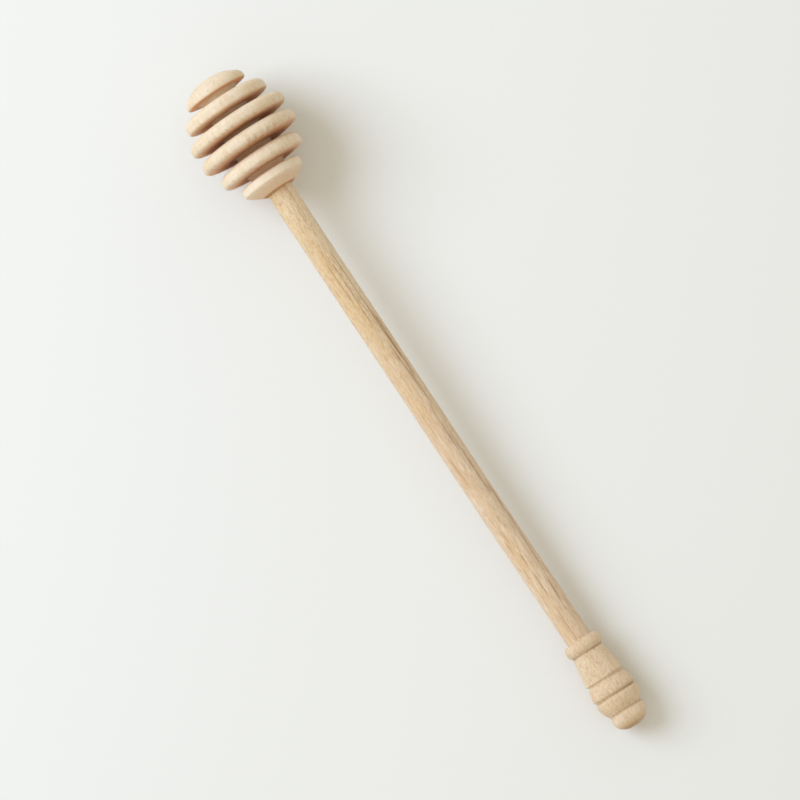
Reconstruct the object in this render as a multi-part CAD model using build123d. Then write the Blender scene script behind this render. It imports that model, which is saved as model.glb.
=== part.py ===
from build123d import *
import math
import os

# Honey dipper of turned wood, lying on a table, at real size in millimetres.
# Places along its axis run from the head's tip to the far end of the handle.

# Head: a cap, four rings and a base on one core, parted by five grooves
core_radius = 5.2
groove_widths = (1.84, 1.8, 1.63, 1.9, 1.84)
cap_radius = 8.72
cap_thickness = 4.8
cap_tip_radius = 1.0
ring_radii = (11.92, 14.05, 14.05, 11.92)
ring_thicknesses = (3.71, 3.76, 3.91, 3.97)
base_radius = 8.8
base_thickness = 5.04

# Rounding of the discs, as shares of each disc's thickness where it meets the core
cap_dome_share = 0.85
cap_lip_share = 0.08
cap_slant_share = 0.03
cap_bulge_share = 0.04
front_run_share = 0.53
front_rise_share = 0.65
back_run_shares = (0.2, 0.27, 0.32, 0.3)
back_rise_shares = (0.22, 0.33, 0.4, 0.36)
back_slant_shares = (0.02, 0.02, 0.02, 0.02)
back_bulge_shares = (0.06, 0.08, 0.12, 0.08)
base_front_share = 0.2
base_land_share = 0.46
base_bulge_share = 0.03

# Shaft, and the joint that holds it in the head
shaft_radius = 3.54
shaft_length = 139.25
tenon_length = 14.0
tenon_chamfer = 0.5
glue_thickness = 0.1
glue_pad_thickness = 0.4
drill_point_angle = 118
mouth_chamfer = 0.25
mouth_land = 0.3

# Finial: collar, taper, two beads and a knob, parted by narrow grooves
collar_width = 3.4
collar_radius = 5.2
collar_side_radius = 4.35
collar_groove_width = 0.35
collar_groove_radius = 4.2
taper_length = 7.6
taper_start_radius = 4.35
taper_end_radius = 5.5
upper_groove_width = 1.1
upper_groove_radius = 5.0
upper_bead_width = 3.75
upper_bead_radius = 6.08
upper_bead_start_radius = 5.2
upper_bead_end_radius = 5.6
upper_bead_crown_share = 0.78
middle_groove_width = 0.55
middle_groove_radius = 5.45
lower_bead_width = 4.4
lower_bead_radius = 6.03
lower_bead_start_radius = 5.75
lower_bead_end_radius = 4.5
lower_bead_crown_share = 0.16
lower_groove_width = 0.3
lower_groove_radius = 4.45
knob_length = 4.7
knob_start_radius = 4.78
knob_radius = 4.86
knob_tip_radius = 0.8
knob_dome_share = 0.72


# Places that follow from the sizes
disc_starts = [0]
for thickness, width in zip((cap_thickness, *ring_thicknesses), groove_widths):
    disc_starts.append(disc_starts[-1] + thickness + width)
ring_starts = disc_starts[1:-1]
base_start = disc_starts[-1]
head_end = base_start + base_thickness
socket_radius = shaft_radius + glue_thickness
socket_bottom = head_end - tenon_length - glue_pad_thickness
tenon_start = head_end - tenon_length
tenon_nose = (tenon_start, shaft_radius - tenon_chamfer)
tenon_shoulder = (tenon_start + tenon_chamfer, shaft_radius)
collar_start = head_end + shaft_length
collar_end = collar_start + collar_width
taper_start = collar_end + collar_groove_width
taper_end = taper_start + taper_length
upper_bead_start = taper_end + upper_groove_width
upper_bead_crown = upper_bead_start + upper_bead_width * upper_bead_crown_share
upper_bead_end = upper_bead_start + upper_bead_width
lower_bead_start = upper_bead_end + middle_groove_width
lower_bead_crown = lower_bead_start + lower_bead_width * lower_bead_crown_share
lower_bead_end = lower_bead_start + lower_bead_width
knob_start = lower_bead_end + lower_groove_width
knob_crown = knob_start + knob_length * (1 - knob_dome_share)
handle_end = knob_start + knob_length


def turned(edges):
    """A solid turned about the axis from an outline of place and radius."""
    return revolve(make_face(edges), axis=Axis.X)


def rounding(crown, end):
    """Two arcs that leave a crown level and reach a face square to the axis, close to a quarter ellipse."""
    run, rise = abs(end[0] - crown[0]), crown[1] - end[1]
    lean = (math.radians(45) + math.atan2(rise, run)) / 2
    across, down = math.sin(lean), math.cos(lean)
    scale = across + down - 1
    crown_radius = (run * down - rise * (1 - across)) / scale
    end_radius = (rise * across - run * (1 - down)) / scale
    ahead = math.copysign(1, end[0] - crown[0])
    joint = (crown[0] + ahead * crown_radius * across, crown[1] - crown_radius * (1 - down))
    return [TangentArc(crown, joint, tangent=(ahead, 0)), TangentArc(end, joint, tangent=(0, 1))]


def bead(start, crown, end):
    """A bead: two arcs that meet level at its crown."""
    return [TangentArc(crown, start, tangent=(-1, 0)), TangentArc(crown, end, tangent=(1, 0))]


def notch(start, floor_radius, end):
    """A narrow groove with two sloping sides."""
    floor = ((start[0] + end[0]) / 2, floor_radius)
    return [Line(start, floor), Line(floor, end)]


def back_face(rim, root, bulge):
    """The face of a disc on the side of the shaft, slightly full between rim and root."""
    middle = ((rim[0] + root[0]) / 2 + bulge, (rim[1] + root[1]) / 2)
    return ThreePointArc(rim, middle, root)


def cap_outline():
    """From the head's tip to the first groove's floor."""
    crown = (cap_thickness * cap_dome_share, cap_radius)
    lip = cap_thickness * cap_lip_share
    rim = (cap_thickness * (1 - cap_slant_share), cap_radius - lip)
    band_end = (rim[0] - lip, cap_radius)
    return [
        Line((0, 0), (0, cap_tip_radius)),
        *rounding(crown, (0, cap_tip_radius)),
        Line(crown, band_end),
        *rounding(band_end, rim),
        back_face(rim, (cap_thickness, core_radius), cap_thickness * cap_bulge_share),
    ]


def ring_outline(start, groove, thickness, radius, run_share, rise_share, slant_share, bulge_share):
    """One ring with the groove before it: full towards the tip, tighter towards the shaft."""
    end = start + thickness
    shoulder = (start, radius - thickness * front_rise_share)
    crown = (start + thickness * front_run_share, radius)
    rim = (end - thickness * slant_share, radius - thickness * rise_share)
    band_end = (rim[0] - thickness * run_share, radius)
    return [
        Line((start - groove, core_radius), (start, core_radius)),
        Line((start, core_radius), shoulder),
        *rounding(crown, shoulder),
        Line(crown, band_end),
        *rounding(band_end, rim),
        back_face(rim, (end, core_radius), thickness * bulge_share),
    ]


def base_outline():
    """The last disc, which falls in a full curve to the mouth of the socket."""
    front = base_thickness * base_front_share
    shoulder = (base_start, base_radius - front)
    crown = (base_start + front, base_radius)
    land_end = (base_start + base_thickness * base_land_share, base_radius)
    mouth_radius = socket_radius + mouth_chamfer
    end = (head_end, mouth_radius + mouth_land)
    bulge = base_thickness * base_bulge_share
    middle = ((land_end[0] + end[0]) / 2 + bulge, (land_end[1] + end[1]) / 2 + bulge)
    return [
        Line((base_start - groove_widths[-1], core_radius), (base_start, core_radius)),
        Line((base_start, core_radius), shoulder),
        *rounding(crown, shoulder),
        Line(crown, land_end),
        ThreePointArc(land_end, middle, end),
        Line(end, (head_end, mouth_radius)),
    ]


def socket_outline():
    """The blind hole in the head, from its mouth to the point that the drill left."""
    point_depth = socket_radius / math.tan(math.radians(drill_point_angle / 2))
    point = (socket_bottom - point_depth, 0)
    return [
        Line((head_end, socket_radius + mouth_chamfer), (head_end - mouth_chamfer, socket_radius)),
        Line((head_end - mouth_chamfer, socket_radius), (socket_bottom, socket_radius)),
        Line((socket_bottom, socket_radius), point),
        Line(point, (0, 0)),
    ]


def ring_sizes():
    """For each ring the values that its outline takes."""
    rounding = zip(back_run_shares, back_rise_shares, back_slant_shares, back_bulge_shares)
    rings = zip(ring_starts, groove_widths, ring_thicknesses, ring_radii)
    return [(*ring, *shares) for ring, shares in zip(rings, rounding)]


def dipper_head():
    edges = cap_outline()
    for ring in ring_sizes():
        edges += ring_outline(*ring)
    edges += base_outline()
    edges += socket_outline()
    return turned(edges)


def finial_outline():
    """From the end of the shaft to the end of the handle."""
    collar_face = (collar_start, collar_side_radius)
    collar_crown = ((collar_start + collar_end) / 2, collar_radius)
    collar_back = (collar_end, collar_side_radius)
    taper_front = (taper_start, taper_start_radius)
    taper_back = (taper_end, taper_end_radius)
    upper_front = (upper_bead_start, upper_bead_start_radius)
    upper_crown = (upper_bead_crown, upper_bead_radius)
    upper_back = (upper_bead_end, upper_bead_end_radius)
    lower_front = (lower_bead_start, lower_bead_start_radius)
    lower_crown = (lower_bead_crown, lower_bead_radius)
    lower_back = (lower_bead_end, lower_bead_end_radius)
    knob_front = (knob_start, knob_start_radius)
    knob_widest = (knob_crown, knob_radius)
    edges = [Line((collar_start, shaft_radius), collar_face)]
    edges += bead(collar_face, collar_crown, collar_back)
    edges += notch(collar_back, collar_groove_radius, taper_front)
    edges += [Line(taper_front, taper_back)]
    edges += notch(taper_back, upper_groove_radius, upper_front)
    edges += bead(upper_front, upper_crown, upper_back)
    edges += notch(upper_back, middle_groove_radius, lower_front)
    edges += bead(lower_front, lower_crown, lower_back)
    edges += notch(lower_back, lower_groove_radius, knob_front)
    edges += [TangentArc(knob_widest, knob_front, tangent=(-1, 0))]
    edges += rounding(knob_widest, (handle_end, knob_tip_radius))
    edges += [Line((handle_end, knob_tip_radius), (handle_end, 0))]
    return edges


def handle():
    """Shaft and finial turned in one piece, with the shaft's end as the tenon."""
    edges = [
        Line((handle_end, 0), (tenon_start, 0)),
        Line((tenon_start, 0), tenon_nose),
        Line(tenon_nose, tenon_shoulder),
        Line(tenon_shoulder, (collar_start, shaft_radius)),
    ]
    return turned(edges + finial_outline())


def glue_film():
    """Set glue: a sleeve round the tenon and a pad under its end."""
    mouth = head_end - mouth_chamfer
    corners = [
        (socket_bottom, 0),
        (socket_bottom, socket_radius),
        (mouth, socket_radius),
        (mouth, shaft_radius),
        tenon_shoulder,
        tenon_nose,
        (tenon_start, 0),
        (socket_bottom, 0),
    ]
    return turned([Polyline(*corners)])


def rest_tilt():
    """Angle of the axis to the table when a ring and a bead of the finial both touch it."""
    rings = []
    for start, thickness, radius, run_share, slant_share in zip(
        ring_starts, ring_thicknesses, ring_radii, back_run_shares, back_slant_shares
    ):
        rings.append((start + thickness * (1 - run_share - slant_share), radius))
    beads = [(upper_bead_crown, upper_bead_radius), (lower_bead_crown, lower_bead_radius)]
    tilts = []
    for ring_place, ring_radius in rings:
        angles = [math.atan2(ring_radius - r, p - ring_place) for p, r in beads]
        tilts.append(min(angles))
    return math.degrees(max(tilts))


def lying(solids):
    """The pieces tilted to rest on the table, with the origin under the middle of their box."""
    tilt = Rotation(0, rest_tilt(), 0)
    tilted = {name: tilt * solid for name, solid in solids.items()}
    box = Compound(list(tilted.values())).bounding_box()
    shift = Pos(-(box.min.X + box.max.X) / 2, -(box.min.Y + box.max.Y) / 2, -box.min.Z)
    return {name: shift * solid for name, solid in tilted.items()}


pieces = lying({"dipper_head": dipper_head(), "handle": handle(), "glue_film": glue_film()})
os.makedirs("parts", exist_ok=True)
for name, piece in pieces.items():
    export_step(piece, f"parts/{name}.step")
whole = Compound(list(pieces.values())).bounding_box()
print(f"length along the axis {handle_end:.2f}, rest tilt {rest_tilt():.3f} degrees")
print(f"box {whole.min.X:.3f} {whole.min.Y:.3f} {whole.min.Z:.3f} to", end=" ")
print(f"{whole.max.X:.3f} {whole.max.Y:.3f} {whole.max.Z:.3f}")
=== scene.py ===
import math

import bpy
import numpy as np
from mathutils import Matrix, Vector


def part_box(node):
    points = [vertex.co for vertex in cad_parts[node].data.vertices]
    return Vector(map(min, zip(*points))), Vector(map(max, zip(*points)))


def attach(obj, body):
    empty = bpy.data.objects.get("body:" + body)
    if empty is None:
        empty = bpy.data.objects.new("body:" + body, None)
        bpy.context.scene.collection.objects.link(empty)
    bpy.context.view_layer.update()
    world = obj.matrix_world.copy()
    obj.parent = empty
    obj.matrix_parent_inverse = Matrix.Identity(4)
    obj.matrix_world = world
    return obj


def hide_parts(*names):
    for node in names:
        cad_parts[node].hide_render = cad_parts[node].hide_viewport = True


# Honey dipper of turned wood. Sizes are in millimetres until a mesh is made, and then in metres.
# Places along its axis run from the head's tip to the far end of the handle.

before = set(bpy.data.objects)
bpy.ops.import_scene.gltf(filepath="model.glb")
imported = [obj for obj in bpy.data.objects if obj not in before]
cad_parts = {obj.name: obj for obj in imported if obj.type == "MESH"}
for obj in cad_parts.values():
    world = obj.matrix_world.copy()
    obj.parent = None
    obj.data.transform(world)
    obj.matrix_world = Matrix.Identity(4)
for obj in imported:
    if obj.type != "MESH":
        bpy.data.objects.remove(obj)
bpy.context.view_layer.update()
millimetre = 0.001
tau = 2 * math.pi

# Head: a cap, four rings and a base on one core, parted by five grooves
core_radius = 5.2
groove_widths = (1.84, 1.8, 1.63, 1.9, 1.84)
cap_radius = 8.72
cap_thickness = 4.8
cap_tip_radius = 1.0
ring_radii = (11.92, 14.05, 14.05, 11.92)
ring_thicknesses = (3.71, 3.76, 3.91, 3.97)
base_radius = 8.8
base_thickness = 5.04

# Rounding of the discs, as shares of each disc's thickness where it meets the core
cap_dome_share = 0.85
cap_lip_share = 0.08
cap_slant_share = 0.03
cap_bulge_share = 0.04
front_run_share = 0.53
front_rise_share = 0.65
back_run_shares = (0.2, 0.27, 0.32, 0.3)
back_rise_shares = (0.22, 0.33, 0.4, 0.36)
back_slant_shares = (0.02, 0.02, 0.02, 0.02)
back_bulge_shares = (0.06, 0.08, 0.12, 0.08)
base_front_share = 0.2
base_land_share = 0.46
base_bulge_share = 0.03

# Shaft, and the joint that holds it in the head
shaft_radius = 3.54
shaft_length = 139.25
tenon_length = 14.0
tenon_chamfer = 0.5
glue_thickness = 0.1
glue_pad_thickness = 0.4
drill_point_angle = 118
mouth_chamfer = 0.25
mouth_land = 0.3

# Finial: collar, taper, two beads and a knob, parted by narrow grooves
collar_width = 3.4
collar_radius = 5.2
collar_side_radius = 4.35
collar_groove_width = 0.35
collar_groove_radius = 4.2
taper_length = 7.6
taper_start_radius = 4.35
taper_end_radius = 5.5
upper_groove_width = 1.1
upper_groove_radius = 5.0
upper_bead_width = 3.75
upper_bead_radius = 6.08
upper_bead_start_radius = 5.2
upper_bead_end_radius = 5.6
upper_bead_crown_share = 0.78
middle_groove_width = 0.55
middle_groove_radius = 5.45
lower_bead_width = 4.4
lower_bead_radius = 6.03
lower_bead_start_radius = 5.75
lower_bead_end_radius = 4.5
lower_bead_crown_share = 0.16
lower_groove_width = 0.3
lower_groove_radius = 4.45
knob_length = 4.7
knob_start_radius = 4.78
knob_radius = 4.86
knob_tip_radius = 0.8
knob_dome_share = 0.72

# Places that follow from the sizes
disc_starts = [0]
for thickness, width in zip((cap_thickness, *ring_thicknesses), groove_widths):
    disc_starts.append(disc_starts[-1] + thickness + width)
ring_starts = disc_starts[1:-1]
base_start = disc_starts[-1]
head_end = base_start + base_thickness
socket_radius = shaft_radius + glue_thickness
socket_bottom = head_end - tenon_length - glue_pad_thickness
socket_point = socket_bottom - socket_radius / math.tan(math.radians(drill_point_angle / 2))
tenon_start = head_end - tenon_length
collar_start = head_end + shaft_length
collar_end = collar_start + collar_width
taper_start = collar_end + collar_groove_width
taper_end = taper_start + taper_length
upper_bead_start = taper_end + upper_groove_width
upper_bead_crown = upper_bead_start + upper_bead_width * upper_bead_crown_share
upper_bead_end = upper_bead_start + upper_bead_width
lower_bead_start = upper_bead_end + middle_groove_width
lower_bead_crown = lower_bead_start + lower_bead_width * lower_bead_crown_share
lower_bead_end = lower_bead_start + lower_bead_width
knob_start = lower_bead_end + lower_groove_width
knob_crown = knob_start + knob_length * (1 - knob_dome_share)
handle_end = knob_start + knob_length


# Outlines: rows of place and radius, at fine steps

fine_step = 0.02
hair = 0.001
same_point = 1e-9
groove_mesh_height = 2.2


def line(start, end):
    """A straight run."""
    share = np.linspace(0, 1, max(2, math.ceil(math.dist(start, end) / fine_step)))[:, None]
    return np.array(start) * (1 - share) + np.array(end) * share


def rounding(crown, end):
    """Two arcs that leave a crown level and reach a face square to the axis, close to a quarter ellipse."""
    run, rise = abs(end[0] - crown[0]), crown[1] - end[1]
    lean = (math.radians(45) + math.atan2(rise, run)) / 2
    across, down = math.sin(lean), math.cos(lean)
    scale = across + down - 1
    crown_radius = (run * down - rise * (1 - across)) / scale
    end_radius = (rise * across - run * (1 - down)) / scale
    ahead = math.copysign(1, end[0] - crown[0])
    count = max(4, math.ceil(0.7 * math.dist(crown, end) / fine_step))
    near, far = np.linspace(0, lean, count), np.linspace(lean, tau / 4, count)
    first = [crown[0] + ahead * crown_radius * np.sin(near), crown[1] - crown_radius * (1 - np.cos(near))]
    last = [end[0] - ahead * end_radius * (1 - np.sin(far)), end[1] + end_radius * np.cos(far)]
    return np.concatenate([np.stack(first, 1), np.stack(last, 1)])


def level_arc(crown, end):
    """Arc that leaves a crown level and ends at a lower point."""
    run, drop = end[0] - crown[0], crown[1] - end[1]
    radius = (run * run + drop * drop) / (2 * drop)
    angle = np.linspace(0, math.atan2(abs(run), radius - drop), max(4, math.ceil(abs(run) / fine_step)))
    place = crown[0] + math.copysign(1, run) * radius * np.sin(angle)
    return np.stack([place, crown[1] - radius * (1 - np.cos(angle))], 1)


def bulged(start, end, bulge):
    """Shallow arc from start to end whose middle stands off its chord by bulge, a place and a radius."""
    share = np.linspace(0, 1, max(4, math.ceil(math.dist(start, end) / fine_step)))[:, None]
    straight = np.array(start) * (1 - share) + np.array(end) * share
    return straight + np.array(bulge) * 4 * share * (1 - share)


def notch(start, floor_radius, end):
    """A narrow groove with two sloping sides."""
    lowest = ((start[0] + end[0]) / 2, floor_radius)
    return [line(start, lowest), line(lowest, end)]


def cap_outline():
    """From the head's tip to the first groove's floor."""
    crown = (cap_thickness * cap_dome_share, cap_radius)
    lip = cap_thickness * cap_lip_share
    rim = (cap_thickness * (1 - cap_slant_share), cap_radius - lip)
    band_end = (rim[0] - lip, cap_radius)
    bulge = (cap_thickness * cap_bulge_share, 0)
    return [
        line((0, 0), (0, cap_tip_radius)),
        rounding(crown, (0, cap_tip_radius))[::-1],
        line(crown, band_end),
        rounding(band_end, rim),
        bulged(rim, (cap_thickness, core_radius), bulge),
    ]


def ring_outline(start, groove, thickness, radius, run_share, rise_share, slant_share, bulge_share):
    """One ring with the groove before it: full towards the tip, tighter towards the shaft."""
    end = start + thickness
    shoulder = (start, radius - thickness * front_rise_share)
    crown = (start + thickness * front_run_share, radius)
    rim = (end - thickness * slant_share, radius - thickness * rise_share)
    band_end = (rim[0] - thickness * run_share, radius)
    return [
        line((start - groove, core_radius), (start, core_radius)),
        line((start, core_radius), shoulder),
        rounding(crown, shoulder)[::-1],
        line(crown, band_end),
        rounding(band_end, rim),
        bulged(rim, (end, core_radius), (thickness * bulge_share, 0)),
    ]


def base_outline():
    """The last disc, which falls in a full curve to the mouth of the socket."""
    front = base_thickness * base_front_share
    shoulder = (base_start, base_radius - front)
    crown = (base_start + front, base_radius)
    land_end = (base_start + base_thickness * base_land_share, base_radius)
    mouth_radius = socket_radius + mouth_chamfer
    bulge = base_thickness * base_bulge_share
    return [
        line((base_start - groove_widths[-1], core_radius), (base_start, core_radius)),
        line((base_start, core_radius), shoulder),
        rounding(crown, shoulder)[::-1],
        line(crown, land_end),
        bulged(land_end, (head_end, mouth_radius + mouth_land), (bulge, bulge)),
        line((head_end, mouth_radius + mouth_land), (head_end, mouth_radius)),
        line((head_end, mouth_radius), (head_end - mouth_chamfer, socket_radius)),
    ]


def ring_sizes():
    """For each ring the values that its outline takes."""
    back_shares = zip(back_run_shares, back_rise_shares, back_slant_shares, back_bulge_shares)
    rings = zip(ring_starts, groove_widths, ring_thicknesses, ring_radii)
    return [(*ring, *shares) for ring, shares in zip(rings, back_shares)]


def head_outline():
    """From the head's tip over all discs to the mouth of the socket."""
    runs = cap_outline()
    for ring in ring_sizes():
        runs += ring_outline(*ring)
    return runs + base_outline()


def finial_outline():
    """From the end of the shaft to the end of the handle."""
    collar_face = (collar_start, collar_side_radius)
    collar_crown = ((collar_start + collar_end) / 2, collar_radius)
    collar_back = (collar_end, collar_side_radius)
    upper_front = (upper_bead_start, upper_bead_start_radius)
    upper_crown = (upper_bead_crown, upper_bead_radius)
    upper_back = (upper_bead_end, upper_bead_end_radius)
    lower_front = (lower_bead_start, lower_bead_start_radius)
    lower_crown = (lower_bead_crown, lower_bead_radius)
    lower_back = (lower_bead_end, lower_bead_end_radius)
    knob_front = (knob_start, knob_start_radius)
    knob_widest = (knob_crown, knob_radius)
    runs = [line((collar_start, shaft_radius), collar_face)]
    runs += [level_arc(collar_crown, collar_face)[::-1], level_arc(collar_crown, collar_back)]
    runs += notch(collar_back, collar_groove_radius, (taper_start, taper_start_radius))
    runs += [line((taper_start, taper_start_radius), (taper_end, taper_end_radius))]
    runs += notch((taper_end, taper_end_radius), upper_groove_radius, upper_front)
    runs += [level_arc(upper_crown, upper_front)[::-1], level_arc(upper_crown, upper_back)]
    runs += notch(upper_back, middle_groove_radius, lower_front)
    runs += [level_arc(lower_crown, lower_front)[::-1], level_arc(lower_crown, lower_back)]
    runs += notch(lower_back, lower_groove_radius, knob_front)
    runs += [level_arc(knob_widest, knob_front)[::-1]]
    runs += [rounding(knob_widest, (handle_end, knob_tip_radius))]
    runs += [line((handle_end, knob_tip_radius), (handle_end, 0))]
    return runs


def run_of(outline):
    """Distance along the outline of each of its points."""
    return np.r_[0, np.cumsum(np.linalg.norm(np.diff(outline, axis=0), axis=1))]


def softened(runs, softness, spacing):
    """One outline from joined runs, with its corners eased over about that softness. The points stand at the
    given spacing on the outer half of the discs and at twice that inside the grooves."""
    points = np.concatenate(runs)
    points = points[np.r_[True, np.diff(run_of(points)) > same_point]]
    along = run_of(points)
    steps = np.linspace(0, along[-1], math.ceil(along[-1] / fine_step) + 1)
    even = np.stack([np.interp(steps, along, points[:, k]) for k in (0, 1)], 1)
    reach = math.ceil(3 * softness / fine_step)
    weights = np.exp(-0.5 * (np.arange(-reach, reach + 1) * fine_step / softness) ** 2)
    before = 2 * even[0] - even[reach:0:-1]
    after = 2 * even[-1] - even[-2 : -reach - 2 : -1]
    padded = np.concatenate([before, even, after])
    eased = np.stack([np.convolve(padded[:, k], weights / weights.sum(), "valid") for k in (0, 1)], 1)
    in_grooves = (eased[:, 0] > cap_thickness) & (eased[:, 0] < base_start)
    deep = in_grooves & (eased[:, 1] < core_radius + groove_mesh_height)
    count = np.cumsum(np.where(deep, 0.5, 1) * fine_step / spacing)
    chosen = np.searchsorted(count, np.linspace(count[0], count[-1], math.ceil(count[-1]) + 1))
    return eased[np.unique(np.clip(chosen, 0, len(eased) - 1))]


# Surfaces: random fields over the rows and columns of a turned mesh


def ease(x):
    """Smooth step of x from 0 to 1."""
    x = np.clip(x, 0, 1)
    return x * x * (3 - 2 * x)


def band(x, low, high, edge):
    """1 between low and high, falling to 0 over edge on both sides."""
    return ease((x - low) / edge + 1) * ease((high - x) / edge + 1)


def streaks(run, angles, girth, width, length, random):
    """Random field from -1 to 1 in strips, as wide round the girth and as long along the run as is said."""
    cells = max(3, round(girth / width))
    steps = run[:, None] / length + random.random(cells)
    cell = np.floor(steps).astype(int)
    table = random.uniform(-1, 1, (cell.max() - cell.min() + 2, cells))
    share = ease(steps - cell)
    row, column = cell - cell.min(), np.arange(cells)
    value = table[row, column] * (1 - share) + table[row + 1, column] * share
    turn = angles / tau * cells
    left = np.floor(turn).astype(int)
    share = ease(turn - left)
    return value[:, left % cells] * (1 - share) + value[:, (left + 1) % cells] * share


def outward(outline):
    """Unit vectors of place and radius that point out of the wood."""
    slope = np.gradient(outline, axis=0)
    slope /= np.linalg.norm(slope, axis=1, keepdims=True)
    return np.stack([-slope[:, 1], slope[:, 0]], 1)


def sunk(outline, depth):
    """Grids of place and radius for an outline whose points are sunk into the wood by a grid of depths."""
    inward = -outward(outline)
    places = outline[:, :1] + inward[:, :1] * depth
    return places, np.maximum(outline[:, 1:] + inward[:, 1:] * depth, 0)


# The line through the middle of the turned pieces bends a little, as dried wood does

bow_places = (0, 22, 34, 48, 120, 142, 152, 165, 175, 200)
bow_offsets = (0, 0, -0.12, -0.23, -0.25, -0.22, -0.12, -0.03, 0, 0)


def bow(place):
    """Sideways offset of the axis at a place."""
    return np.interp(place, bow_places, bow_offsets)


def rest_tilt():
    """Angle of the axis to the table when a ring and a bead of the finial both touch it."""
    tilts = []
    for start, thickness, radius, run_share, slant_share in zip(
        ring_starts, ring_thicknesses, ring_radii, back_run_shares, back_slant_shares
    ):
        place = start + thickness * (1 - run_share - slant_share)
        beads = ((upper_bead_crown, upper_bead_radius), (lower_bead_crown, lower_bead_radius))
        tilts.append(min(math.atan2(radius - r, p - place) for p, r in beads))
    return max(tilts)


def tip_place():
    """Middle of the head's tip in the row frame, from the CAD box of the head."""
    low, high = (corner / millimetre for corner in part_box("dipper_head"))
    place, radius = np.concatenate(head_outline()).T
    cosine, sine = math.cos(rest_tilt()), math.sin(rest_tilt())
    reach = (place * cosine - radius * sine).min()
    drop = (place * sine + radius * cosine).max()
    return Vector((low.x - reach, (low.y + high.y) / 2, low.z + drop))


turned_frame = Matrix.Translation(tip_place()) @ Matrix.Rotation(rest_tilt(), 4, "Y")


def turned_mesh(name, places, radii, angles, material):
    """Closed mesh from grids of place and radius, one row per point of an outline and one column per angle.
    The first and last rows shrink to a point on the axis."""
    rows, columns = radii.shape
    side, up = radii * np.sin(angles), radii * np.cos(angles)
    inner = np.stack([places, side, up], -1)[1:-1].reshape(-1, 3)
    ends = np.array([[places[0].mean(), 0, 0], [places[-1].mean(), 0, 0]])
    straight = np.concatenate([inner, ends])
    level = np.zeros(len(straight))
    bent = straight + np.stack([level, bow(straight[:, 0]), level], 1)
    matrix = np.array(turned_frame)
    world = (bent @ matrix[:3, :3].T + matrix[:3, 3]) * millimetre
    first = np.arange((rows - 3) * columns).reshape(rows - 3, columns)
    right = np.roll(first, -1, axis=1)
    quads = np.stack([first, first + columns, right + columns, right], -1).reshape(-1, 4)
    low = np.arange(columns)
    high = low + (rows - 3) * columns
    tip, tail = len(inner), len(inner) + 1
    caps = [(tip, a, b) for a, b in zip(low, np.roll(low, -1))]
    caps += [(tail, b, a) for a, b in zip(high, np.roll(high, -1))]
    mesh = bpy.data.meshes.new(name)
    mesh.from_pydata(world.tolist(), [], quads.tolist() + caps)
    mesh.validate()
    mesh.shade_smooth()
    grain = mesh.attributes.new("grain", "FLOAT_VECTOR", "POINT")
    grain.data.foreach_set("vector", straight.astype(np.float32).ravel())
    mesh.materials.append(material)
    piece = bpy.data.objects.new(name, mesh)
    bpy.context.scene.collection.objects.link(piece)
    return piece


def paint(piece, name, values):
    """Writes one number per point of a turned mesh, from a grid like the one that made it. The two points
    on the axis get 0."""
    layer = piece.data.attributes.new(name, "FLOAT", "POINT")
    layer.data.foreach_set("value", np.r_[values[1:-1].ravel(), 0, 0].astype(np.float32))


# Materials: wood built from noise that is stretched along the grain


class Nodes:
    """Makes and links the nodes of one material or world."""

    def __init__(self, owner):
        owner.use_nodes = True
        self.owner, self.tree = owner, owner.node_tree
        self.shader = self.tree.nodes.get("Principled BSDF")

    def add(self, kind, inputs=(), **settings):
        made = self.tree.nodes.new(kind)
        for key, value in settings.items():
            setattr(made, key, value)
        for key, value in dict(inputs).items():
            self.put(value, made.inputs[key])
        return made

    def put(self, value, socket):
        if isinstance(value, bpy.types.NodeSocket):
            self.tree.links.new(value, socket)
        elif isinstance(value, tuple) and socket.type == "RGBA":
            socket.default_value = (*value, 1) if len(value) == 3 else value
        else:
            socket.default_value = value

    def number(self, name):
        return self.add("ShaderNodeAttribute", attribute_name=name).outputs["Fac"]

    def noise(self, vector, stretch, detail=2.0, roughness=0.5, shift=(0, 0, 0), distortion=0.0):
        placed = self.add("ShaderNodeVectorMath", {0: vector, 1: stretch, 2: shift}, operation="MULTIPLY_ADD")
        inputs = {"Vector": placed.outputs[0], "Scale": 1.0, "Detail": detail, "Roughness": roughness}
        return self.add("ShaderNodeTexNoise", {**inputs, "Distortion": distortion}).outputs["Fac"]

    def spread(self, value, low, high, new_low=0.0, new_high=1.0):
        inputs = {"Value": value, "From Min": low, "From Max": high, "To Min": new_low, "To Max": new_high}
        return self.add("ShaderNodeMapRange", inputs, interpolation_type="SMOOTHSTEP").outputs["Result"]

    def math(self, operation, first, second=0.0):
        return self.add("ShaderNodeMath", {0: first, 1: second}, operation=operation).outputs[0]

    def mix(self, share, first, second):
        return self.add("ShaderNodeMix", {0: share, 6: first, 7: second}, data_type="RGBA").outputs[2]


def colour(red, green, blue):
    """Linear colour of a display colour in 0 to 255."""
    shares = (c / 255 for c in (red, green, blue))
    return tuple(c / 12.92 if c <= 0.04045 else ((c + 0.055) / 1.055) ** 2.4 for c in shares)


# Year rings: how far they wander, and how many there are to a millimetre
year_ring_wander = 5.0
year_rings_per_millimetre = 0.52


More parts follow.
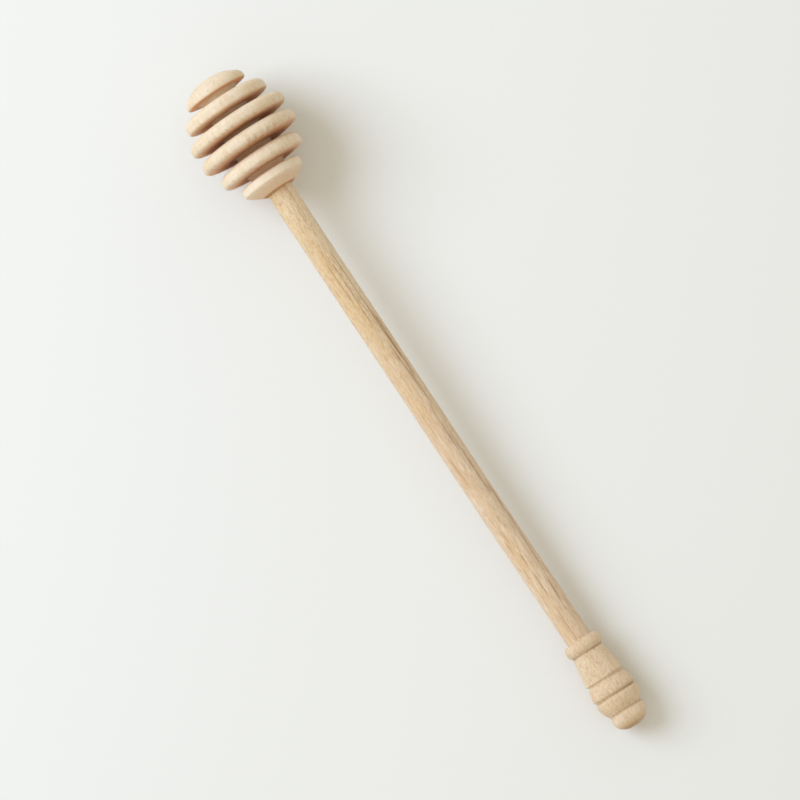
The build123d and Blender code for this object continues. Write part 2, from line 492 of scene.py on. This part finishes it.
def wood(name, pale, warm, dark, pith, line_share, blotch_share, streak_share, grit_share, relief, stains_and_painted_shading):
    """Unfinished wood with its grain along the turned axis. Each entry of the stains and painted shading is a
    painted number, its colour, its share and whether fine threads of the grain break it up; some are stains,
    others painted shade and painted light. The relief is in metres."""
    n = Nodes(bpy.data.materials.new(name))
    grain = n.add("ShaderNodeAttribute", attribute_name="grain").outputs["Vector"]
    wander = n.noise(grain, (0.03, 0.12, 0.12), 2.0, shift=(3.1, 0.7, 5.3))
    broad = n.noise(grain, (0.035, 0.16, 0.16), 3.0, shift=(7.7, 2.1, 0.4))
    blotches = n.noise(grain, (0.13, 0.42, 0.42), 3.0, 0.55, shift=(2.4, 6.6, 1.2), distortion=0.4)
    lumps = n.noise(grain, (0.5, 1.1, 1.1), 3.0, 0.6, shift=(4.4, 0.3, 7.1), distortion=0.3)
    fibres = n.noise(grain, (0.2, 2.2, 2.2), 4.0, 0.62, shift=(1.3, 4.2, 8.8))
    fine = n.noise(grain, (0.7, 6.0, 6.0), 3.0, 0.6, shift=(0.2, 9.1, 3.3))
    flecks = n.noise(grain, (0.3, 3.2, 3.2), 1.0, shift=(5.5, 1.9, 2.6))
    grit = n.noise(grain, (0.8, 2.3, 2.3), 2.0, 0.55, shift=(6.2, 3.7, 0.9), distortion=0.5)

    across = n.add("ShaderNodeVectorMath", {0: grain, 1: (0.0, 1.0, 1.0)}, operation="MULTIPLY").outputs[0]
    offset = n.add("ShaderNodeVectorMath", {0: across, 1: pith}, operation="DISTANCE").outputs["Value"]
    wandering = {0: wander, 1: year_ring_wander, 2: offset}
    wavy = n.add("ShaderNodeMath", wandering, operation="MULTIPLY_ADD").outputs[0]
    layer = n.math("FRACT", n.math("MULTIPLY", wavy, year_rings_per_millimetre))
    late = n.spread(layer, 0.45, 1.0)

    tone = n.mix(n.spread(broad, 0.3, 0.7), pale, warm)
    tone = n.mix(n.spread(blotches, 0.38, 0.68, 0.0, blotch_share), tone, warm)
    tone = n.mix(n.math("MULTIPLY", late, line_share), tone, dark)
    for field, low, high, share, towards in (
        (fibres, 0.45, 0.78, streak_share, dark),
        (lumps, 0.5, 0.75, streak_share * 0.8, dark),
        (lumps, 0.48, 0.25, streak_share, pale),
        (fibres, 0.42, 0.2, 0.5, pale),
        (grit, 0.5, 0.72, grit_share, dark),
        (grit, 0.5, 0.28, grit_share, pale),
    ):
        tone = n.mix(n.spread(field, low, high, 0.0, share), tone, towards)
    pores = n.spread(flecks, 0.66, 0.78, 0.0, streak_share * 1.6)
    tone = n.mix(pores, tone, dark)
    threads = n.spread(fine, 0.4, 0.62)
    # Stains, painted shade and painted light, laid over the tone
    for painted, layer_colour, share, threaded in stains_and_painted_shading:
        amount = n.math("MULTIPLY", n.number(painted), share)
        tone = n.mix(n.math("MULTIPLY", amount, threads) if threaded else amount, tone, layer_colour)

    n.put(tone, n.shader.inputs["Base Color"])
    n.put(n.spread(fibres, 0.3, 0.7, new_low=0.56, new_high=0.72), n.shader.inputs["Roughness"])
    height = fibres
    for field, weight in ((lumps, 1.1), (fine, 0.35), (grit, -0.9), (pores, -0.8)):
        height = n.math("ADD", height, n.math("MULTIPLY", field, weight))
    bump = n.add("ShaderNodeBump", {"Height": height, "Strength": 0.8, "Distance": relief})
    n.put(bump.outputs[0], n.shader.inputs["Normal"])
    n.shader.inputs["Specular IOR Level"].default_value = 0.3
    n.shader.inputs["Sheen Weight"].default_value = 0.12
    n.shader.inputs["Sheen Roughness"].default_value = 0.5
    return n.owner


head_wood = wood(
    "head_wood",
    pale=colour(237, 220, 194),
    warm=colour(230, 208, 174),
    dark=colour(202, 164, 120),
    pith=(0.0, -34.0, -26.0),
    line_share=0.1,
    blotch_share=0.25,
    streak_share=0.3,
    grit_share=0.2,
    relief=0.0001,
    stains_and_painted_shading=(
        # paler_and_painted_light: paler wood towards the handle, and painted light on the floor of the cap's
        # groove
        ("paler_and_painted_light", colour(248, 233, 210), 0.45, False),
        # groove and deep: painted warm shade on the faces that look away from the light, on the groove floors
        # and on the base's slope, plus the darker brown at the mouth
        ("groove", colour(226, 148, 80), 0.85, False),
        ("deep", colour(146, 78, 36), 0.7, False),
        ("torn", colour(170, 112, 66), 0.7, True),
    ),
)
handle_wood = wood(
    "handle_wood",
    pale=colour(237, 216, 183),
    warm=colour(227, 198, 154),
    dark=colour(178, 138, 96),
    pith=(0.0, 9.0, -12.0),
    line_share=0.12,
    blotch_share=0.6,
    streak_share=0.38,
    grit_share=0.52,
    relief=0.00025,
    stains_and_painted_shading=(
        ("rosy", colour(221, 194, 170), 0.5, False),
        # tan: tan at the mouth, painted shade on the lit side and top, and end grain with painted shade at
        # the knob's tip
        ("tan", colour(216, 176, 118), 0.6, False),
        ("line", colour(152, 100, 54), 0.8, False),
        # fibre_and_light: pale raised fibres, and painted light on the shaded side of shaft and finial
        ("fibre_and_light", colour(240, 222, 194), 0.5, False),
        # burn_and_shade: burn lines in the finial's grooves, with painted shade on their shaded side and on
        # the knob's tip
        ("burn_and_shade", colour(140, 82, 44), 0.85, False),
    ),
)


def glue():
    """Set wood glue: cloudy brown and a little glossy."""
    n = Nodes(bpy.data.materials.new("wood_glue"))
    grain = n.add("ShaderNodeAttribute", attribute_name="grain").outputs["Vector"]
    cloud = n.noise(grain, (2.0, 2.0, 2.0), 3.0)
    n.put(n.mix(cloud, colour(176, 128, 72), colour(128, 84, 42)), n.shader.inputs["Base Color"])
    n.put(n.spread(cloud, 0.3, 0.7, new_low=0.3, new_high=0.45), n.shader.inputs["Roughness"])
    bump = n.add("ShaderNodeBump", {"Height": cloud, "Strength": 0.3, "Distance": 0.00005})
    n.put(bump.outputs[0], n.shader.inputs["Normal"])
    return n.owner


# The head: its mesh, the relief of its wood, and its browns, most of them painted shade

head_seed = 11
head_columns = 256
head_corner_ease = 0.07
head_point_spacing = 0.29
bore_row_depths = (1.5, 5)
bore_corner_row = 0.4
mouth_rows = 3

# Its random fields: width and length of their strips, and depths
head_girth = tau * 11
head_wave_strip = (9, 14)
head_wave_depth = 0.015
head_fibre_strip = (0.9, 2.5)
head_fibre_depth = 0.01
torn_strip = (0.6, 1.3)
torn_patch_strip = (5, 60)
torn_depth = 0.07
torn_shares = (0.2, 1.0, 0.85, 0.6)
torn_lead = 0.2
torn_past = 0.3
torn_edge = 0.5
torn_height = 1

# Its browns: painted shade in the grooves and on the base's slope, and a darker brown at the mouth, with
# shares at the start of each disc, from the cap on or from the first ring on
core_shade_shares = (0, 0, 0.1, 0.2, 0.45, 0.3)
face_shade_shares = (0.0, 0.15, 0.3, 0.8, 0.6)
full_shade_depth = 4.5
core_shade_height = 0.7
cap_rim_height = 0.35
slope_shade_start = 2.1
slope_shade_fade = 1.4
slope_shade_share = 0.26
mouth_brown_reach = 0.45
mouth_brown_share = 0.9
paler_start = 20
paler_fade = 12


def crown_over(place):
    """Radius of the disc that a place of the head belongs to, with the groove after it."""
    radii = np.array((cap_radius, *ring_radii, base_radius))
    return radii[np.searchsorted(disc_starts, place + hair, side="right") - 1]


def torn_fibres(place, radius, field):
    """Share of torn fibres on the rings. The function field draws a random field from a size of strips."""
    torn = 0
    for (start, _, thickness, _, back_run_share, _, _, _), share in zip(ring_sizes(), torn_shares):
        crown_end = start + thickness * (1 - back_run_share)
        on_shoulder = band(place, crown_end + torn_lead, start + thickness + torn_past, torn_edge)
        on_shoulder = on_shoulder * (radius > core_radius + torn_height)
        strips = field(torn_strip)
        patches = field(torn_patch_strip)
        torn = torn + on_shoulder * share * ease((strips + 0.5 * patches + 0.1) / 1.1)
    return torn


def paint_head(piece, place, radius, facing, torn):
    """Paints the torn fibres; painted warm shade on the faces that look towards the handle, away from the
    light, on the groove floors and on the base's slope; the darker brown at the mouth; and the paler half
    beside the handle, with painted light on the floor of the cap's groove. Facing is how much a point
    looks towards the handle, from -1 to 1."""
    # Painted shade, darker the deeper a point lies below its disc's crown
    below = ease((crown_over(place[:, 0])[:, None] - radius) / full_shade_depth)
    at_cap = place < cap_thickness + 0.5
    under_rim = np.where(at_cap, ease((cap_radius - cap_rim_height - radius) / 0.3), 1)
    facing_back = ease((facing - 0.55) / 0.4) * (place < base_start) * under_rim
    on_face = facing_back * np.where(at_cap, 1 - 0.5 * below, 0.25 + 0.75 * below)
    in_grooves = (place > cap_thickness - 0.3) & (place < base_start + 0.5)
    on_core = ease((core_radius + core_shade_height - radius) / 0.5) * in_grooves
    on_slope = ease((place - base_start - slope_shade_start) / slope_shade_fade)
    on_mouth = mouth_brown_share * ease(1 - np.abs(place - head_end) / mouth_brown_reach)

    core_shade = np.interp(place, disc_starts, core_shade_shares) * on_core
    face_shade = np.interp(place, disc_starts[1:], face_shade_shares)
    # Painted shade on faces turned from the light, on groove floors and on the base's slope, with the mouth's
    # darker brown
    groove = np.maximum(on_face * (1 - on_core), core_shade) + slope_shade_share * on_slope + on_mouth
    deep = 0.8 * on_mouth + facing_back * below * (1 - on_core) * face_shade
    # Paler wood towards the handle, and painted light on the floor of the cap's groove
    paler_and_painted_light = ease((place - paler_start) / paler_fade) * (1 - 0.8 * on_slope) + 0.9 * on_core * at_cap
    same = np.ones_like(torn)
    paint(piece, "torn", torn)
    paint(piece, "groove", np.clip(groove, 0, 1) * same)
    paint(piece, "deep", deep * same)
    paint(piece, "paler_and_painted_light", paler_and_painted_light * same)


def make_head():
    random = np.random.default_rng(head_seed)
    outer = softened(head_outline(), head_corner_ease, head_point_spacing)
    bore = [(head_end - depth, socket_radius) for depth in bore_row_depths]
    bore += [
        (socket_bottom + bore_corner_row, socket_radius),
        (socket_bottom, socket_radius),
        ((socket_bottom + socket_point) / 2, socket_radius / 2),
        (socket_point, 0),
    ]
    outline = np.concatenate([outer, bore])
    angles = np.arange(head_columns) / head_columns * tau
    run = run_of(outline)
    place, radius = outline[:, :1], outline[:, 1:]

    def field(strip):
        return streaks(run, angles, head_girth, *strip, random)

    depth = head_wave_depth * (1 + field(head_wave_strip))
    depth = depth + head_fibre_depth * (1 + field(head_fibre_strip))
    torn = torn_fibres(place, radius, field)
    outside = ease((len(outer) - mouth_rows - np.arange(len(outline))) / (mouth_rows + 1))
    depth = (depth + torn_depth * torn) * outside[:, None]
    piece = turned_mesh("honey_head", *sunk(outline, depth), angles, head_wood)
    paint_head(piece, place, radius, outward(outline)[:, :1], torn)
    return piece


# The handle: its mesh, the relief of its wood, and its stains, painted shade and painted light

handle_seed = 29
handle_columns = 190
finial_corner_ease = 0.06
finial_point_spacing = 0.2
tenon_middle_row = 5
tenon_row_depths = (3, 1.2)
shaft_rows = 280
shaft_rows_start = 0.8
shaft_rows_stop = 1.5
finial_lead = 1.2

# Its random fields: width and length of their strips, and depths
shaft_girth = tau * shaft_radius
finial_girth = tau * 5
raised_strip = (0.55, 3.2)
raised_depth = 0.02
broad_strip = (1.5, 9)
broad_depth = 0.012
lump_strip = (1.1, 2.2)
lump_depth = 0.018
split_strip = (0.4, 5.0)
split_depth = 0.03
shaft_wave_strip = (11, 30)
shaft_wave_depth = 0.006
finial_strip = (0.6, 1.8)
finial_depth = 0.008
tan_strip = (2.2, 7)
burn_strip = (3, 6)
far_start = 40
far_fade = 60

# Dark strands along the shaft: turn in degrees, start, end, width, drift in degrees and weight
strand_depth = 0.05
strand_end_fade = 3.0
strands = (
    (41, 57, 86, 0.26, 6, 1.0),
    (18, 42.6, 44.4, 0.2, 0, 0.5),
    (50, 76, 92, 0.5, -4, 0.6),
    (-8, 59, 68, 0.24, 3, 0.6),
    (13, 60, 75, 0.22, -3, 0.5),
    (28, 20, 44, 0.25, 4, 0.35),
    (35, 86, 100, 0.45, 12, 0.5),
    (24, 105, 118, 0.4, -6, 0.45),
    (38, 112, 128, 0.35, 3, 0.5),
    (55, 128, 136, 0.5, 0, 0.4),
    (53, 139, 150, 0.3, -9, 0.7),
    (30, 158, 164, 0.25, -8, 0.6),
    (-4, 154.5, 157.5, 0.25, 0, 0.8),
    (-30, 118, 124, 0.5, 5, 0.4),
)

# Patches of painted light on the shaded side, one of them a pale spot on top, and of painted shade on the lit
# side and top: weight, start, end and fade along the axis, then the same three in degrees of turn
lit_and_pale_patches = (
    (0.8, head_end + 1, head_end + 32, 12, 42, 75, 18),
    (0.4, collar_start + 0.4, handle_end, 0.4, 25, 100, 25),
    (0.5, 62, 68, 4, -1, 6, 6),
)
painted_shade_patches = (
    (0.75, head_end + 11, collar_start - 1, 3, -40, -3, 22),
    (0.3, head_end, head_end + 10, 3, -15, 20, 20),
)
rosy_start = 30
rosy_fade = 55
mouth_tan_reach = 1.2

# Burnt grooves of the finial, painted darker still on their shaded side: middle, width and weight
burnt_and_shaded_grooves = (
    (collar_end + collar_groove_width / 2, 0.3, 0.38),
    (taper_end + upper_groove_width / 2, 0.5, 0.12),
    (upper_bead_end + middle_groove_width / 2, 0.3, 0.5),
    (lower_bead_end + lower_groove_width / 2, 0.26, 0.18),
)
knob_shade_reach = 1.7
knob_shade_fade = 1.5


def strand(place, angles, turn, start, end, width, drift, weight):
    """Weight of a thin strand at a turn in degrees that drifts by some degrees over a stretch of the axis."""
    share = (place - start) / (end - start)
    middle = math.radians(turn) + math.radians(drift) * (share - 0.5)
    apart = np.abs((angles - middle + math.pi) % tau - math.pi) * shaft_radius
    return weight * (ease(1.5 - 1.5 * apart / width) * band(place, start, end, strand_end_fade))


def patch(place, turn, weight, start, end, fade, first_turn, last_turn, turn_fade):
    """Weight of a patch with soft edges along the axis and round it."""
    return weight * band(place, start, end, fade) * band(turn, first_turn, last_turn, turn_fade)


def handle_outline():
    """From the head end of the tenon to the knob."""
    tenon = [
        (tenon_start, 0),
        (tenon_start, shaft_radius - tenon_chamfer),
        (tenon_start + tenon_chamfer, shaft_radius),
        (tenon_start + tenon_middle_row, shaft_radius),
    ]
    tenon += [(head_end - depth, shaft_radius) for depth in tenon_row_depths]
    shaft_places = np.linspace(head_end - shaft_rows_start, collar_start - shaft_rows_stop, shaft_rows)
    shaft = np.stack([shaft_places, np.full(shaft_rows, shaft_radius)], 1)
    lead = line((collar_start - finial_lead, shaft_radius), (collar_start, shaft_radius))
    finial = softened([lead] + finial_outline(), finial_corner_ease, finial_point_spacing)
    return np.concatenate([tenon, shaft, finial])


def make_handle():
    random = np.random.default_rng(handle_seed)
    outline = handle_outline()
    angles = np.arange(handle_columns) / handle_columns * tau
    turn = np.degrees((angles + math.pi) % tau - math.pi)
    run = run_of(outline)
    place = outline[:, :1]
    facing = outward(outline)[:, :1]

    def field(strip, girth=shaft_girth):
        return streaks(run, angles, girth, *strip, random)

    on_shaft = band(place, head_end + 0.5, collar_start - 0.6, 1.0)
    on_finial = ease((place - collar_start) / 0.4)
    far = ease((place - head_end - far_start) / far_fade)
    raised = field(raised_strip)
    broad = field(broad_strip)
    lumps = field(lump_strip)
    split = ease((field(split_strip) - 0.5) / 0.45)
    dark_lines = sum(strand(place, angles, *row) for row in strands)
    depth = shaft_wave_depth * (1 + field(shaft_wave_strip))
    rough = raised_depth * (1 + far) * (1 + raised) + broad_depth * (1 + broad) + lump_depth * (1 + lumps)
    rough = rough + split_depth * (1 + far) * split + strand_depth * dark_lines
    depth = depth + on_shaft * rough
    depth = depth + on_finial * finial_depth * (1 + field(finial_strip, finial_girth))
    depth = depth * ease(place - head_end + 1)
    piece = turned_mesh("honey_handle", *sunk(outline, depth), angles, handle_wood)

    same = np.ones_like(depth)
    rosy = ease((place - head_end - rosy_start) / rosy_fade) * (1 - 0.5 * on_finial)
    paint(piece, "rosy", rosy * same)

    # Painted shade on the lit side and top of the shaft, which flattens its shading
    tan = (1 - 0.2 * far) * sum(patch(place, turn, *row) for row in painted_shade_patches)
    mouth = 0.6 * ease(1 - (place - head_end) / mouth_tan_reach)
    # End grain of the knob's tip, with painted shade where it faces away from the light
    end_grain_and_shade = 0.6 * ease((facing - 0.35) / 0.5) * (place > knob_start + 1.5)
    paint(piece, "tan", np.clip(tan * (0.75 + 0.5 * field(tan_strip)) + mouth + end_grain_and_shade, 0, 1))

    paint(piece, "line", np.clip(dark_lines + 0.5 * split * (0.4 + 0.6 * far), 0, 1) * on_shaft)

    fibre_and_light = ease((raised - 0.2) / 0.7) * (0.35 + 0.65 * far) * on_shaft
    # Painted light on the shaded side of the shaft and finial, and a pale spot on top
    fibre_and_light = fibre_and_light + sum(patch(place, turn, *row) for row in lit_and_pale_patches)
    fibre_and_light = fibre_and_light + 0.5 * band(place, knob_start + 0.4, knob_start + 1.8, 0.8)
    paint(piece, "fibre_and_light", np.clip(fibre_and_light, 0, 1))

    burn_and_shade = sum(weight * ease(1.4 - np.abs(place - middle) / width) for middle, width, weight in burnt_and_shaded_grooves)
    # Painted shade: the grooves darker on the side away from the light
    burn_and_shade = burn_and_shade * (1 + 0.7 * band(turn, 30, 110, 40))
    # Painted shade, reddish like end grain, on the knob's tip, which faces away from the light
    burn_and_shade = burn_and_shade + 0.6 * ease((place - handle_end + knob_shade_reach) / knob_shade_fade)
    paint(piece, "burn_and_shade", np.clip(burn_and_shade * (0.75 + 0.25 * field(burn_strip)), 0, 1))
    return piece


# The film of glue round the tenon and under it, with a little unevenness at the mouth

glue_seed = 5
glue_columns = 96
glue_girth_strip = (1.2, 30)
glue_lip = 0.02
glue_lip_waves = 0.05
glue_corner_row = 0.3
glue_pad_row = 0.5
glue_middle_row = 5


def make_glue():
    random = np.random.default_rng(glue_seed)
    inner, outer = shaft_radius, socket_radius
    mouth = head_end - mouth_chamfer
    outline = np.array(
        [
            (socket_bottom, 0),
            (socket_bottom, outer - glue_corner_row),
            (socket_bottom, outer),
            (socket_bottom + glue_pad_row, outer),
            (head_end - glue_middle_row, outer),
            (mouth - glue_corner_row, outer),
            (mouth, outer),
            (mouth + glue_lip, (inner + outer) / 2),
            (mouth, inner),
            (mouth - glue_corner_row, inner),
            (head_end - glue_middle_row, inner),
            (tenon_start + tenon_chamfer, inner),
            (tenon_start, inner - tenon_chamfer),
            (tenon_start, 0),
        ]
    )
    angles = np.arange(glue_columns) / glue_columns * tau
    place, radius = (np.repeat(outline[:, k : k + 1], glue_columns, axis=1) for k in (0, 1))
    waves = glue_lip_waves * streaks(run_of(outline), angles, tau * outer, *glue_girth_strip, random)
    place = place + np.where(place > mouth, waves, 0)
    return turned_mesh("honey_glue", place, radius, angles, glue())


for piece, node, slot in (
    (make_head(), "dipper_head", "head_wood"),
    (make_handle(), "handle", "handle_wood"),
    (make_glue(), "glue_film", "wood_glue"),
):
    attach(piece, "root")
    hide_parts(node)


# Stage, in metres: a pale floor, soft light from the left and a camera far above

backdrop = colour(236, 236, 232)
floor_reach = 4.0
picture_width = 800
sensor_width = 36
camera_reach = 50


def floor():
    mesh = bpy.data.meshes.new("floor")
    corners = ((-1, -1), (1, -1), (1, 1), (-1, 1))
    mesh.from_pydata([(x * floor_reach, y * floor_reach, 0) for x, y in corners], [], [(0, 1, 2, 3)])
    n = Nodes(bpy.data.materials.new("floor"))
    n.put(backdrop, n.shader.inputs["Base Color"])
    n.shader.inputs["Roughness"].default_value = 0.6
    n.shader.inputs["Specular IOR Level"].default_value = 0.2
    mesh.materials.append(n.owner)
    made = bpy.data.objects.new("floor", mesh)
    bpy.context.scene.collection.objects.link(made)


def lamp(name, direction, distance, size, power, tint):
    """Round area lamp that looks at the middle of the dipper."""
    data = bpy.data.lights.new(name, "AREA")
    data.shape = "DISK"
    data.size = size
    data.energy = power
    data.color = tint
    made = bpy.data.objects.new(name, data)
    made.location = Vector(direction).normalized() * distance
    made.rotation_euler = made.location.to_track_quat("Z", "Y").to_euler()
    bpy.context.scene.collection.objects.link(made)


def surroundings(light, seen):
    """Even light from all round, and a pale backdrop where the camera sees past the floor."""
    n = Nodes(bpy.data.worlds.new("studio"))
    bpy.context.scene.world = n.owner
    glow = n.tree.nodes["Background"]
    n.put(light, glow.inputs["Color"])
    shown = n.add("ShaderNodeBackground", {"Color": seen})
    path = n.add("ShaderNodeLightPath").outputs["Is Camera Ray"]
    pick = n.add("ShaderNodeMixShader", {0: path, 1: glow.outputs[0], 2: shown.outputs[0]})
    n.put(pick.outputs[0], n.tree.nodes["World Output"].inputs[0])


def camera(place, target, up, pixels_per_slope):
    """Camera at a place that looks at a target, with the picture's upward direction given. The zoom is the
    number of pixels that a slope of 1 off the line of sight takes."""
    data = bpy.data.cameras.new("camera")
    data.sensor_width = sensor_width
    data.lens = sensor_width * pixels_per_slope / picture_width
    data.clip_end = camera_reach
    made = bpy.data.objects.new("camera", data)
    back = (Vector(place) - Vector(target)).normalized()
    right = Vector(up).cross(back).normalized()
    turned = Matrix((right, back.cross(right), back)).transposed().to_4x4()
    made.matrix_world = Matrix.Translation(place) @ turned
    bpy.context.scene.collection.objects.link(made)
    bpy.context.scene.camera = made


floor()
lamp(
    "key",
    direction=(-0.53, -0.53, 0.67),
    distance=1.3,
    size=1.0,
    power=13.4,
    tint=(0.71, 0.81, 1.0),
)
surroundings(light=(0.675, 0.64, 0.555), seen=backdrop)
camera(
    place=(0.123, -0.004, 1.295),
    target=(-0.003165, -0.0043215, 0.010),
    up=(-0.829047, 0.553243, 0.08126),
    pixels_per_slope=5016.4,
)

scene = bpy.context.scene
scene.view_settings.view_transform = "Standard"
